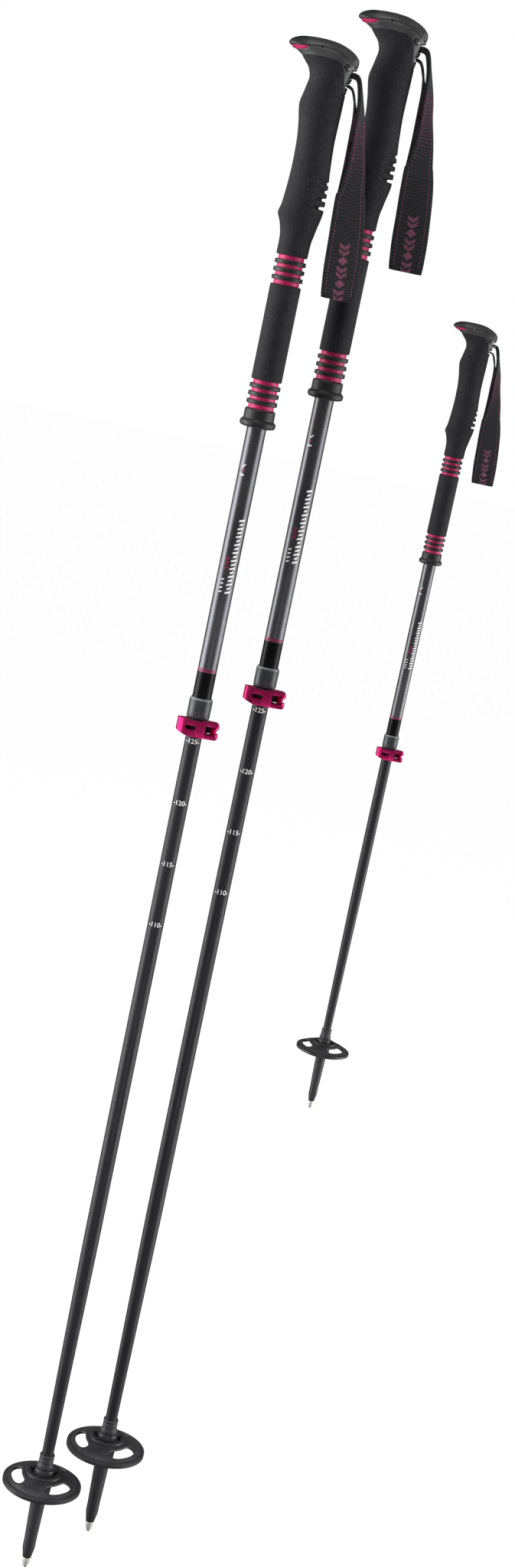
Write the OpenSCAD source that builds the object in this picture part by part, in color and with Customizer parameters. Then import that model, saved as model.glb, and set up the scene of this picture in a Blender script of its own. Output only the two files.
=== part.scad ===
// Set of telescopic trekking poles: two full-size poles and a smaller one pushed in.
// Every pole stands upright with its tip down. Z runs along the shafts, X points from the
// nose of the handle to the wrist strap, and Y points to the back of the set.
// The origin is the tip of the front pole. Heights inside a pole are measured from its tip.

/* [Pole] */
// Length of a full-size pole from tip to handle top
pole_length = 1250; // [1240:1:1260]
// Outer diameter of the upper shaft
upper_d = 15; // [14.6:0.1:15.4]
// Outer diameter of the lower shaft above its taper
lower_d = 12.9; // [12.7:0.1:13.1]
// Outer diameter of the lower shaft where it enters the tip body
lower_tip_d = 9.8; // [9.4:0.1:10]
// Height at which the taper of the lower shaft ends
taper_top = 288; // [240:1:340]
// Length of lower shaft hidden inside the upper shaft
overlap = 100; // [80:1:110]

/* [Layout] */
// Place of the rear pole's tip, right of the front pole
rear_x = 45.5; // [44:0.5:60]
// Place of the rear pole's tip, behind the front pole
rear_y = 24; // [23:0.5:40]
// Height of the rear pole's tip
rear_z = 30.5; // [20:0.5:60]
// Place of the short pole's tip, right of the front pole
short_x = 150; // [140:1:260]
// Height of the short pole's tip
short_z = 446; // [0:1:460]
// Size of the short pole against a full-size one
short_scale = 0.64; // [0.6:0.01:0.7]
// How far the short pole is pushed in, before it is scaled down
short_pushed_in = 270; // [0:1:340]

/* [Lock] */
// Outer diameter of the clamp sleeve
sleeve_d = 18.2; // [17.6:0.1:18.6]
// Radial clearance of running fits
running = 0.08; // [0.03:0.01:0.1]

/* [Grip] */
// Outer diameter of the plain foam and of the ribs
foam_d = 23.6; // [23:0.1:24.4]
// Outer diameter of the pink sleeves
accent_d = 19.6; // [19:0.1:20.4]
// Distance from one rib to the next
rib_pitch = 5.95; // [5.8:0.05:6.2]
// Height of one rib
rib_h = 2.9; // [2.4:0.1:3.2]

/* [Basket] */
// Diameter of the basket
basket_d = 66; // [60:1:70]
// Number of openings in the basket
basket_openings = 3; // [3:1:4]

/* [Hidden] */
PARTS = [
    "tip_point", "tip_body", "basket", "lower_shaft", "guide_plug",
    "upper_shaft", "clamp_sleeve", "clamp_band", "clamp_bolt", "lock_lever",
    "grip_foam", "extension_foam", "accent_rings", "foam_rings", "end_collar",
    "head_shell", "head_cap", "nose_insert", "strap_pin", "wrist_strap"
];
POLES = ["front", "rear", "short"];

$fn = 64;
fit = 0.02;                 // gap between two solids pressed together in one node
wall = 0.55;                // wall of the upper shaft
lower_wall = 1.2;           // wall of the lower shaft
upper_r = upper_d / 2;
bore_r = upper_r - wall;
lower_r = lower_d / 2;
shaft_seat = upper_r + fit; // bore of everything that is slipped over the upper shaft

// Heights of the tip end
ferrule_top = 9.3;
stem_top = 22;
shaft_bottom = 45;
body_top = 104.5;
hub_bottom = 70;
hub_top = 91.5;
body_r = 6.1;

// Heights of the lock
sleeve_bottom = 724;
upper_bottom = 738;
sleeve_top = 753.4;
band_bottom = 725.3;
band_top = 736.3;
lock_z = 730.8;
lower_top = sleeve_top + overlap;

// Lock: pivot of the lever, its barrel and screw, the band and the room inside the lever
pivot_x = 14;
pivot_y = -8.6;
barrel_r = 2.2;
bolt_r = 1.5;
band_in = 7.75;
band_out = 9.4;
sleeve_waist = 7.65;        // outer radius of the sleeve under the band
lever_gap = 9.8;            // inner radius of the lever round the band
ear_y = 4.4;                // half depth of the two ears of the band

// Heights of the foam parts
collar_bottom = 965;
collar_top = 978.5;
foam_bottom = 1000;
foam_top = 1071.7;
grip_bottom = 1093.4;
shaft_top = 1225;
lower_ribs = 983.4;
upper_ribs = 1076.6;
flange_r = 13.75;

// Handle: [height, front, rear, half depth] of its level sections
handle = [
    [1093.4, -11.8, 11.8, 11.8], [1105, -11.8, 12.2, 11.8], [1111, -12.6, 13.3, 12.1],
    [1117, -14.3, 14.4, 12.4], [1123, -16.8, 15.7, 12.8], [1128, -15.6, 16.5, 13],
    [1135, -14.7, 16.6, 13], [1147, -13.8, 16.4, 13], [1160, -13.3, 15.3, 13],
    [1177, -13.7, 14.4, 13], [1189, -15, 14.5, 13], [1202, -17.1, 14.8, 13],
    [1210, -15.7, 14.9, 12.8], [1216, -14.5, 15.2, 12.5], [1222, -13.6, 16.4, 12.3],
    [1228, -15.4, 18.3, 12.3], [1232, -18.6, 19.6, 12.5], [1237, -23.4, 20.4, 12.8],
    [1240, -29, 19.9, 12.9], [1242, -32.6, 18.3, 12.6], [1243.6, -33.2, 16.6, 12],
    [1246, -31.6, 12.6, 10.5], [1248, -28, 7.5, 8.6], [1249.3, -23.6, 2.6, 6.4],
    [pole_length, -17, -3.5, 3.5]
];
// Side outline of the seam between the cap and the shell, from the nose to the rear
cap_seam = [[-40, 1240.6], [-31, 1241.3], [-21, 1242], [-8, 1243.6], [3.5, 1242.8], [10, 1239.8],
            [15.5, 1235.6], [18, 1234.4], [30, 1232]];
// Side outline of the seam between the shell and the foam, from the nose to the tail
foam_seam = [[-40, 1233.5], [-24, 1235.8], [-8, 1236.6], [5, 1235.8], [9, 1233], [11.2, 1227.6],
             [12.4, 1222], [13.3, 1214], [30, 1213]];
groove_z = [1131.5, 1137.8, 1143.7, 1149.6];
groove_x = [12.4, 13.5, 14.4, 14.9];
groove_h = 2.6;

// Strap: hinge at the rear of the head and the pin inside it
strap_x = 19;
strap_z = 1229;
strap_root_r = 3;
strap_half = 6;
pin_x = 12.8;
pin_z = 1232.6;
pin_r = 1.75;
strap_outer = [[19.5, 1232], [23.2, 1231], [26.5, 1226.3], [29, 1218], [31.3, 1202.5], [36, 1182],
               [40.8, 1164], [44.6, 1146], [48.3, 1128], [52, 1091.5], [52.4, 1069.5],
               [27, 1069.5], [24.8, 1091.5], [23.2, 1128], [23.2, 1146], [24, 1164], [24.2, 1182],
               [23.4, 1200], [21.8, 1210], [18.6, 1217.5], [17.6, 1221], [19.5, 1220.5],
               [23.8, 1212], [25.6, 1202], [27, 1202], [25.6, 1212], [22.6, 1221], [19, 1226]];

// Basket: hub disc, web, rim bead and the openings in the web
rim_r = 2.1;
rim_z = 78;
disc_r = 14.5;
disc_z = 88;
opening_in = 16.8;
opening_out = 26.6;
opening_angle = 66;
opening_first = -45;

// A pole's own frame: where it stands and how large it is
module stand(pole) {
    if (pole == "front") children();
    if (pole == "rear") translate([rear_x, rear_y, rear_z]) children();
    if (pole == "short") translate([short_x, 0, short_z]) scale(short_scale) children();
}

// The sliding half of a pole, pushed in on the short one
module slide(pole) {
    stand(pole) translate([0, 0, pole == "short" ? -short_pushed_in : 0]) children();
}

// A tube between two heights
module tube(outer, inner, bottom, top) {
    translate([0, 0, bottom]) difference() {
        cylinder(r = outer, h = top - bottom);
        translate([0, 0, -1]) cylinder(r = inner, h = top - bottom + 2);
    }
}

// A side outline in X and Z, given thickness along Y
module slab(outline, half) {
    translate([0, half, 0]) rotate([90, 0, 0]) linear_extrude(height = 2 * half) polygon(outline);
}

// A rod along Y
module cross_rod(x, z, r, from_y, to_y) {
    translate([x, to_y, z]) rotate([90, 0, 0]) cylinder(r = r, h = to_y - from_y);
}

// A skin over level elliptical sections of [height, front, rear, half depth]
module loft(sections, sides = 32) {
    count = len(sections);
    ring = function (s) [for (i = [0 : sides - 1])
        let (a = 360 * i / sides)
        [(s[1] + s[2]) / 2 + (s[2] - s[1]) / 2 * cos(a), s[3] * sin(a), s[0]]];
    points = [for (s = sections) each ring(s)];
    walls = [for (k = [0 : count - 2]) for (i = [0 : sides - 1])
        let (j = (i + 1) % sides, a = k * sides, b = a + sides)
        each [[a + i, b + i, b + j], [a + i, b + j, a + j]]];
    floor_face = [for (i = [0 : sides - 1]) i];
    roof_face = [for (i = [0 : sides - 1]) count * sides - 1 - i];
    polyhedron(points, concat([floor_face, roof_face], walls));
}

module tip_point() {
    color("silver") difference() {
        rotate_extrude() polygon([[0, 1.2], [1.9, 1.2], [3.6, ferrule_top], [2.4, ferrule_top],
                                  [2.4, stem_top], [0, stem_top]]);
        cylinder(r = 1.3 + fit, h = 7);
    }
    color("dimgray") rotate_extrude() polygon([[0, 0.7], [1.3, 0], [1.3, 6.5], [0, 6.5]]);
}

module tip_body() {
    color("#3a3a3c") difference() {
        rotate_extrude() polygon([[0, ferrule_top], [3.7, ferrule_top], [4.1, 12.5], [5.2, 18],
                                  [5.2, 27], [5.9, 50], [body_r, 58], [body_r, 92.5],
                                  [6.9, 92.7], [6.9, 95], [body_r, 96.5], [body_r, 101],
                                  [5.8, 101.2], [5.8, 102], [6.25, 102.4],
                                  [6.25, 104], [5.9, body_top], [0, body_top]]);
        translate([0, 0, ferrule_top - 1]) cylinder(r = 2.4, h = stem_top - ferrule_top + 1);
        translate([0, 0, shaft_bottom]) cylinder(r = lower_tip_d / 2, h = body_top - shaft_bottom + 1);
    }
}

module basket() {
    rim = basket_d / 2 - rim_r;
    color("#333336") difference() {
        rotate_extrude() union() {
            polygon([[body_r + running, hub_bottom], [8.2, hub_bottom], [8.8, 83.5], [13.6, 84.4],
                     [19, 83.4], [25, 80.6], [rim, rim_z - 1.6], [rim, rim_z + 1.4],
                     [26, 82.8], [20, 85.6], [disc_r, 86.8], [disc_r, disc_z - 0.4],
                     [disc_r - 0.5, disc_z], [9.2, disc_z], [8.6, hub_top], [body_r + running, hub_top]]);
            translate([rim, rim_z]) circle(r = rim_r, $fn = 24);
        }
        for (i = [0 : basket_openings - 1])
            rotate([0, 0, opening_first + i * 360 / basket_openings])
                translate([0, 0, hub_bottom]) basket_opening();
    }
}

// One opening: a stretch of a ring whose two ends point at the hub
module basket_opening() {
    reach = opening_out * 1.5;
    spread = reach * tan(opening_angle / 2);
    linear_extrude(height = 30) intersection() {
        difference() {
            circle(r = opening_out);
            circle(r = opening_in);
        }
        polygon([[0, 0], [reach, -spread], [reach, spread]]);
    }
}

module lower_shaft() {
    color("#202024") rotate_extrude() polygon([
        [lower_tip_d / 2 - lower_wall, shaft_bottom], [lower_tip_d / 2, shaft_bottom],
        [lower_tip_d / 2, body_top + 4], [lower_r, taper_top], [lower_r, lower_top],
        [lower_r - lower_wall, lower_top], [lower_r - lower_wall, taper_top],
        [lower_tip_d / 2 - lower_wall, body_top + 4]]);
}

module guide_plug() {
    stem = 18;
    head = 18;
    color("gray") difference() {
        union() {
            translate([0, 0, lower_top - stem]) cylinder(r = lower_r - lower_wall, h = stem);
            translate([0, 0, lower_top]) cylinder(r = bore_r - running, h = head);
        }
        translate([0, 0, lower_top - stem - 1]) cylinder(r = 2.5, h = stem + head + 2);
    }
}

module upper_shaft() {
    color("#4a4a50") tube(upper_r, bore_r, upper_bottom, shaft_top);
}

module clamp_sleeve() {
    slit = 1.4;
    color("#45484b") difference() {
        rotate_extrude() polygon([
            [lower_r + running, sleeve_bottom], [sleeve_waist, sleeve_bottom],
            [sleeve_waist, band_top + 0.3], [sleeve_d / 2, band_top + 1.3],
            [sleeve_d / 2, sleeve_top - 1], [upper_r + 0.4, sleeve_top], [upper_r, sleeve_top],
            [upper_r, upper_bottom], [lower_r + running, upper_bottom]]);
        translate([0, -slit / 2, sleeve_bottom - 1])
            cube([sleeve_d, slit, upper_bottom - sleeve_bottom]);
    }
}

module clamp_band() {
    ear_x = 8.4;
    ear_end = 16.6;
    ear_half = 3.2;
    slit = 2;
    color("#303236") difference() {
        union() {
            tube(band_out, band_in, band_bottom, band_top);
            translate([ear_x, -ear_y, lock_z - ear_half])
                cube([ear_end - ear_x, 2 * ear_y, 2 * ear_half]);
        }
        translate([band_in - 3, -slit / 2, band_bottom - 1])
            cube([20, slit, band_top - band_bottom + 2]);
        translate([0, 0, band_bottom - 1]) cylinder(r = band_in, h = band_top - band_bottom + 2);
        cross_rod(pivot_x, lock_z, bolt_r + 0.1, -ear_y - 1, ear_y + 1);
    }
}

// The screw runs along Y through the ears into the upright barrel that the lever turns on
module clamp_bolt() {
    color("silver") difference() {
        union() {
            cross_rod(pivot_x, lock_z, bolt_r, pivot_y - barrel_r + 0.2, ear_y + 0.5);
            cross_rod(pivot_x, lock_z, 2.8, ear_y, ear_y + 2.6);
        }
        translate([pivot_x, ear_y + 4, lock_z]) rotate([90, 0, 0]) cylinder(r = 1.4, h = 3, $fn = 6);
    }
    color("#a01050") difference() {
        translate([pivot_x, pivot_y, 724.6]) cylinder(r = barrel_r, h = 12.4);
        cross_rod(pivot_x, lock_z, bolt_r + fit, pivot_y - 5, pivot_y + 5);
    }
}

module lock_lever() {
    color("#dc1e6e") difference() {
        intersection() {
            translate([0, 0, 720]) linear_extrude(height = 22) lever_plan();
            slab([[-15.4, 727], [-5.5, 723.6], [18.4, 724.2], [18.4, 737.4], [8, 737.6],
                  [-4, 736.2], [-15.4, 736.8]], 20);
        }
        // window between the two cheeks of the fork
        translate([9.6, -20, lock_z - 3.5]) cube([12, 20, 7]);
        // slot in the front
        slab([[-6.5, 730.2], [-5, 732.4], [2.6, 732.4], [4.2, 730.6], [2.6, 728.9], [-5, 728.9]], 20);
        translate([pivot_x, pivot_y, 720]) cylinder(r = barrel_r + running, h = 22);
    }
}

// The lever seen from above: a bar bent round the front of the band, ending in the fork
module lever_plan() {
    difference() {
        union() {
            polygon([[-15.2, -5.4], [-13.6, -10.4], [-8.6, -13], [4, -13.4], [14, -12.9],
                     [18.3, -11.4], [18.3, -6.6], [14, -5.2], [8, -4.9], [0, 0], [-13, -4.4]]);
            translate([pivot_x, pivot_y]) circle(r = 3.6);
        }
        circle(r = lever_gap);
    }
}

module grip_foam() {
    color("#38383a") difference() {
        intersection() {
            loft(handle);
            slab(concat([[-40, 1090]], foam_seam, [[30, 1090]]), 20);
        }
        translate([0, 0, grip_bottom - 1]) cylinder(r = shaft_seat, h = shaft_top - grip_bottom + 1);
        for (i = [0 : len(groove_z) - 1])
            translate([groove_x[i], -20, groove_z[i] - groove_h / 2]) cube([8, 40, groove_h]);
    }
}

module extension_foam() {
    color("#38383a") tube(foam_d / 2, shaft_seat, foam_bottom, foam_top);
}

module accent_rings() {
    color("#e1197d") {
        tube(accent_d / 2, shaft_seat, collar_top, foam_bottom);
        tube(accent_d / 2, shaft_seat, foam_top, grip_bottom);
    }
}

module foam_rings() {
    color("#2c2c2e") for (base = [lower_ribs, upper_ribs]) for (i = [0 : 2])
        rib(base + i * rib_pitch);
}

// One rib with rounded edges, centred on a height
module rib(height) {
    edge = 0.7;
    rotate_extrude() translate([0, height]) polygon([
        [accent_d / 2 + fit, -rib_h / 2], [foam_d / 2 - edge, -rib_h / 2],
        [foam_d / 2, -rib_h / 2 + edge], [foam_d / 2, rib_h / 2 - edge],
        [foam_d / 2 - edge, rib_h / 2], [accent_d / 2 + fit, rib_h / 2]]);
}

module end_collar() {
    flange_top = 970;
    edge = 1;
    color("#2c2c2e") rotate_extrude() polygon([
        [shaft_seat, collar_bottom - 0.8], [10, collar_bottom - 0.8],
        [flange_r - edge, collar_bottom], [flange_r, collar_bottom + edge],
        [flange_r, flange_top - edge], [flange_r - edge, flange_top],
        [foam_d / 2, flange_top + 0.6], [foam_d / 2, collar_top], [shaft_seat, collar_top]]);
}

// Everything between the foam seam and the cap seam
module shell_band() {
    slab(concat(foam_seam, [for (i = [len(cap_seam) - 1 : -1 : 0]) cap_seam[i]]), 20);
}

// Wedge under the nose that the pink insert fills
module nose_wedge() {
    slab([[-40, 1240.6], [-31, 1241.3], [-21, 1242], [-21.5, 1240.4], [-31, 1239.4], [-40, 1238.6]], 20);
}

module head_shell() {
    slot_half = strap_half + 1;
    color("#6e6e70") difference() {
        intersection() {
            loft(handle);
            shell_band();
        }
        nose_wedge();
        cross_rod(strap_x, strap_z, strap_root_r + 0.4, -slot_half, slot_half);
        translate([pin_x - 1.4, -slot_half, strap_z - strap_root_r]) cube([12, 2 * slot_half, 6.4]);
        cross_rod(pin_x, pin_z, pin_r + fit, -20, 20);
    }
}

module head_cap() {
    color("#505052") difference() {
        intersection() {
            loft(handle);
            slab(concat(cap_seam, [[30, 1260], [-40, 1260]]), 20);
        }
        // recess under the dome
        translate([-9, 0, 1235]) intersection() {
            cylinder(r = 9, h = 12);
            translate([-20, -7, 0]) cube([40, 14, 12]);
        }
    }
}

module nose_insert() {
    color("#e1197d") intersection() {
        loft(handle);
        nose_wedge();
    }
}

module strap_pin() {
    color("silver") cross_rod(pin_x, pin_z, pin_r, -9.4, 9.4);
}

module wrist_strap() {
    fold = 2.6;
    color("#3c2c38") {
        cross_rod(strap_x, strap_z, strap_root_r, -strap_half, strap_half);
        slab(strap_outer, fold);
    }
}

for (pole = POLES) {
    stand(pole) tip_point();
    stand(pole) tip_body();
    stand(pole) basket();
    stand(pole) lower_shaft();
    stand(pole) guide_plug();
    slide(pole) upper_shaft();
    slide(pole) clamp_sleeve();
    slide(pole) clamp_band();
    slide(pole) clamp_bolt();
    slide(pole) lock_lever();
    slide(pole) grip_foam();
    slide(pole) extension_foam();
    slide(pole) accent_rings();
    slide(pole) foam_rings();
    slide(pole) end_collar();
    slide(pole) head_shell();
    slide(pole) head_cap();
    slide(pole) nose_insert();
    slide(pole) strap_pin();
    slide(pole) wrist_strap();
}
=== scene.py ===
"""The looks of the trekking pole set: fine meshes, materials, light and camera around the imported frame.

Lengths inside a pole are millimetres in the pole's own frame: z runs from its tip up the shafts,
x from the nose of the handle to the wrist strap, and y to the back. Every piece is built once as a
master in that frame, and each pole gets its own copy at the place and size that the frame gives.
"""
from contextlib import contextmanager
from math import atan2, cos, pi, radians, sin

import bmesh
import bpy
import numpy as np
from mathutils import Matrix, Vector
from mathutils.geometry import delaunay_2d_cdt


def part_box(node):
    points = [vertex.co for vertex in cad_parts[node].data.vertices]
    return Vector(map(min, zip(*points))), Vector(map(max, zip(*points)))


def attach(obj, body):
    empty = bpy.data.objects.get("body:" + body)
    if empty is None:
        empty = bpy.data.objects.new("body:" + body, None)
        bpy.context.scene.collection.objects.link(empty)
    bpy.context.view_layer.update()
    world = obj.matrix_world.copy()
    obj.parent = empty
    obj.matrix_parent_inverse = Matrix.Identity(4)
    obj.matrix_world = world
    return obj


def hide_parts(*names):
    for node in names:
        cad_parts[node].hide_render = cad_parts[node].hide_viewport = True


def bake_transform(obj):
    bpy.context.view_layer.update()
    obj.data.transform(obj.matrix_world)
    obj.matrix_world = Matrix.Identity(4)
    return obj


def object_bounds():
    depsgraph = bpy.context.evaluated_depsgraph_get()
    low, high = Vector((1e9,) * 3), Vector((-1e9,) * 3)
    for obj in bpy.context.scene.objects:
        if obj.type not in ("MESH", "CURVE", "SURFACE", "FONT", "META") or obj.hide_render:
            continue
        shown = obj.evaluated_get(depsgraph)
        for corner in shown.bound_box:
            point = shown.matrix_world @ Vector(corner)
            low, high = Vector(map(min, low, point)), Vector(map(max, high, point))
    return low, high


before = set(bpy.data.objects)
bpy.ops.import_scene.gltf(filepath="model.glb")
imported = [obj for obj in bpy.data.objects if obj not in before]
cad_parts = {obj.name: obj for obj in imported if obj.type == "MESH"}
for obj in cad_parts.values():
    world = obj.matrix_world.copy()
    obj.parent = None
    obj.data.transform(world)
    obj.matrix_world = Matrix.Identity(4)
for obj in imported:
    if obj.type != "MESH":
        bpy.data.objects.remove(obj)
cad_box = [list(corner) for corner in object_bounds()]

# Heights that the frame fixes
TIP_HEIGHT = 22.0
UPPER_BOTTOM = 738.0

# Radii of the shafts and of what is slipped over them
UPPER_R, UPPER_BORE = 7.5, 6.95
LOWER_R, LOWER_TIP_R, LOWER_WALL = 6.45, 4.9, 1.2
SEAT_R, FOAM_R, ACCENT_R = 7.52, 11.8, 9.8

# Heights along a pole that isn't pushed in
LOWER_START, TAPER_START, TAPER_END, LOWER_TOP = 45, 108.5, 288, 853.4
SCALE_TOP, SCALE_STEP = 719, 50
SLEEVE_BOTTOM, SLEEVE_TOP = 724.0, 753.4
BAND_BOTTOM, BAND_TOP = 725.3, 736.3
LOCK_Z = 730.8
SHAFT_TOP = 1225.0
COLLAR_TOP = 978.5
FOAM_BOTTOM, FOAM_TOP = 1000.0, 1071.7
GRIP_BOTTOM, GRIP_SPLIT = 1093.4, 1200.0

# Lock: barrel that the lever turns on
PIVOT_X, PIVOT_Y, BARREL_R = 14.0, -8.6, 2.2

# Basket: rim, bore, and the disc section of its rim
RIM_R, WEB_ROOT, BEAD_R, BEAD_AT, BEAD_Z = 33.0, 13.0, 2.1, 30.9, 78

# Head: pin through the tail, and the dimple on the seam
PIN_X, PIN_Z, PIN_R = 12.8, 1232.6, 1.75
DIMPLE = (-8, 1243.4)

# Wrist strap: thickness, one weft rib, and the stitches' distance from the edge
THICKNESS, RIB_PITCH, EDGE_STITCH = 1.7, 1.3, 3.5

# Handle: height, front, rear and half depth of its level sections
HANDLE = np.array([
    (1093.4, -11.8, 11.8, 11.8), (1105, -11.8, 12.2, 11.8), (1111, -12.6, 13.3, 12.1),
    (1117, -14.3, 14.4, 12.4), (1123, -16.8, 15.7, 12.8), (1128, -15.6, 16.5, 13),
    (1135, -14.7, 16.6, 13), (1147, -13.8, 16.4, 13), (1160, -13.3, 15.3, 13),
    (1177, -13.7, 14.4, 13), (1189, -15, 14.5, 13), (1202, -17.1, 14.8, 13),
    (1210, -15.7, 14.9, 12.8), (1216, -14.5, 15.2, 12.5), (1222, -13.6, 16.4, 12.3),
    (1228, -15.4, 18.3, 12.3), (1232, -18.6, 19.6, 12.5), (1237, -23.4, 20.4, 12.8),
    (1240, -29, 19.9, 12.9), (1242, -32.6, 18.3, 12.6), (1243.6, -33.2, 16.6, 12),
    (1246, -31.6, 12.6, 10.5), (1248, -28, 7.5, 8.6), (1249.3, -23.6, 2.6, 6.4),
    (1250, -17, -3.5, 3.5)])
# Seams round the head as lines of (x, z), looked for above SEAM_START
CAP_SEAM = [(-40, 1240.6), (-31, 1241.3), (-21, 1242), (-8, 1243.6), (3.5, 1242.8), (10, 1239.8),
            (15.5, 1235.6), (18, 1234.4), (30, 1232)]
FOAM_SEAM = [(-40, 1233.5), (-24, 1235.8), (-8, 1236.6), (5, 1235.8), (9, 1233), (11.2, 1227.6),
             (12.4, 1222), (13.3, 1214), (30, 1213)]
INSERT_SEAM = [(-40, 1238.1), (-31, 1238.8), (-20.5, 1239.9), (-18.8, 1242.3)] + CAP_SEAM[3:]
SEAM_START = 1204.0
# Finger grooves: height and how far back their floor lies
GROOVES = [(1131.5, 12.4), (1137.8, 13.5), (1143.7, 14.4), (1149.6, 14.9)]
GROOVE_HALF = 1.35


# ---------------------------------------------------------------- meshes

def placed(name, data):
    """A new object in the scene."""
    item = bpy.data.objects.new(name, data)
    bpy.context.scene.collection.objects.link(item)
    return item


def solid(name, vertices, faces):
    """An object in the scene with that mesh."""
    mesh = bpy.data.meshes.new(name)
    mesh.from_pydata([tuple(map(float, v)) for v in vertices], [], faces)
    return placed(name, mesh)


@contextmanager
def editing(mesh):
    """The mesh opened for editing, and written back at the end."""
    work = bmesh.new()
    work.from_mesh(mesh)
    yield work
    work.to_mesh(mesh)
    work.free()


def tidied(piece):
    """The piece with doubled points merged and all faces turned outwards."""
    with editing(piece.data) as work:
        bmesh.ops.remove_doubles(work, verts=work.verts, dist=0.0005)
        bmesh.ops.dissolve_degenerate(work, edges=work.edges, dist=0.0002)
        bmesh.ops.recalc_face_normals(work, faces=work.faces)
    return piece


def grid_faces(rows, columns, wrap_rows=False, wrap_columns=True, caps=False):
    """Faces between the points of a grid, with its two end rows closed if caps is set."""
    faces = []
    for i in range(rows if wrap_rows else rows - 1):
        here, there = i * columns, (i + 1) % rows * columns
        for j in range(columns if wrap_columns else columns - 1):
            k = (j + 1) % columns
            faces.append((here + j, here + k, there + k, there + j))
    if caps:
        faces += [tuple(range(columns)), tuple(range((rows - 1) * columns, rows * columns))]
    return faces


def grid(name, points, wrap_rows=True, wrap_columns=True, caps=False):
    """A skin over a grid of points."""
    faces = grid_faces(*points.shape[:2], wrap_rows, wrap_columns, caps)
    return tidied(solid(name, points.reshape(-1, 3), faces))


def rounded(outline, radius, closed=True, steps=4):
    """The outline with its corners rounded; a point's own third number replaces the radius."""
    count, result = len(outline), []
    for i, corner in enumerate(outline):
        here = Vector(corner[:2])
        if not closed and i in (0, count - 1):
            result.append(tuple(here))
            continue
        before = Vector(outline[i - 1][:2]) - here
        after = Vector(outline[(i + 1) % count][:2]) - here
        size = corner[2] if len(corner) > 2 else radius
        cut = min(size, 0.45 * before.length, 0.45 * after.length)
        start, end = here + before.normalized() * cut, here + after.normalized() * cut
        for t in (step / steps for step in range(steps + 1)):
            result.append(tuple(start * (1 - t) ** 2 + here * 2 * t * (1 - t) + end * t * t))
    return result


def curve_through(points, samples):
    """Catmull-Rom curve through the points, with that many samples between two of them."""
    points = np.asarray(points, float)
    padded = np.vstack([2 * points[0] - points[1], points, 2 * points[-1] - points[-2]])
    t = np.linspace(0, 1, samples, endpoint=False)[:, None]
    pieces = []
    for a, b, c, d in zip(padded, padded[1:], padded[2:], padded[3:]):
        pieces.append(0.5 * (2 * b + (c - a) * t + (2 * a - 5 * b + 4 * c - d) * t ** 2
                             + (3 * b - a - 3 * c + d) * t ** 3))
    return np.vstack(pieces + [points[-1:]])


def lathe(name, profile, radius=0.3, segments=96, closed=True):
    """A solid of revolution about z from an outline of (r, z) with rounded corners."""
    outline = np.array(rounded(profile, radius, closed))
    angle = np.linspace(0, 2 * pi, segments, endpoint=False)
    r, z = outline[:, :1], outline[:, 1:]
    points = np.stack([r * np.cos(angle), r * np.sin(angle), z + 0 * angle], axis=-1)
    return grid(name, points, wrap_rows=closed)


def tube(name, outer, inner, bottom, top, radius=0.3):
    """A tube with rounded ends."""
    return lathe(name, [(outer, bottom), (outer, top), (inner, top), (inner, bottom)], radius)


def prism(outline, low, high, along="z", name="cutter"):
    """A straight prism along z, y or x over an outline in the other two axes."""
    order = {"z": lambda a, b, c: (a, b, c), "y": lambda a, b, c: (a, c, b),
             "x": lambda a, b, c: (c, a, b)}[along]
    points = np.array([[order(a, b, c) for a, b in outline] for c in (low, high)])
    return grid(name, points, wrap_rows=False, caps=True)


def rectangle(left, low, right, high):
    """The corners of a rectangle."""
    return [(left, low), (right, low), (right, high), (left, high)]


def block(low, high):
    """A plain box used as a cutter."""
    return prism(rectangle(*low[:2], *high[:2]), low[2], high[2])


def rod(centre, radius, low, high, along="y", sides=32):
    """A plain round rod along an axis used as a cutter; centre is in the other two axes."""
    turn = [2 * pi * i / sides for i in range(sides)]
    outline = [(centre[0] + radius * cos(a), centre[1] + radius * sin(a)) for a in turn]
    return prism(outline, low, high, along)


def final_mesh(piece):
    """The mesh of an object after its modifiers."""
    graph = bpy.context.evaluated_depsgraph_get()
    return bpy.data.meshes.new_from_object(piece.evaluated_get(graph))


def modified(piece, kind, **settings):
    """The piece with a modifier made part of its mesh."""
    modifier = piece.modifiers.new(kind, kind)
    for key, value in settings.items():
        setattr(modifier, key, value)
    mesh = final_mesh(piece)
    piece.modifiers.clear()
    piece.data = mesh
    return piece


def combined(piece, other, operation="DIFFERENCE"):
    """The piece cut by, joined with or kept inside another, which is used up."""
    modified(piece, "BOOLEAN", operation=operation, solver="EXACT", object=other)
    bpy.data.objects.remove(other)
    return piece


def bevelled(piece, width, segments=3, angle=32):
    """The piece with its sharp edges rounded."""
    return modified(tidied(piece), "BEVEL", width=width, segments=segments, limit_method="ANGLE",
                    angle_limit=radians(angle))


def joined(name, *parts):
    """One object out of (piece, finish) pairs, each keeping its own finish."""
    work, finishes = bmesh.new(), []
    for piece, finish in parts:
        start = len(work.faces)
        work.from_mesh(piece.data)
        work.faces.ensure_lookup_table()
        if finish not in finishes:
            finishes.append(finish)
        for face in work.faces[start:]:
            face.material_index = finishes.index(finish)
        bpy.data.objects.remove(piece)
    mesh = bpy.data.meshes.new(name)
    work.to_mesh(mesh)
    work.free()
    for finish in finishes:
        mesh.materials.append(FINISHES[finish])
    return placed(name, mesh)


def set_vectors(mesh, name, values):
    """Stores a vector at each point of a mesh, for its finish to read."""
    attribute = mesh.attributes.new(name, "FLOAT_VECTOR", "POINT")
    attribute.data.foreach_set("vector", np.asarray(values, np.float32).ravel())


def smooth_step(value, low, high):
    """0 below low, 1 above high, and a smooth rise between."""
    t = np.clip((value - low) / (high - low), 0, 1)
    return t * t * (3 - 2 * t)


# ---------------------------------------------------------------- materials

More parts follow.
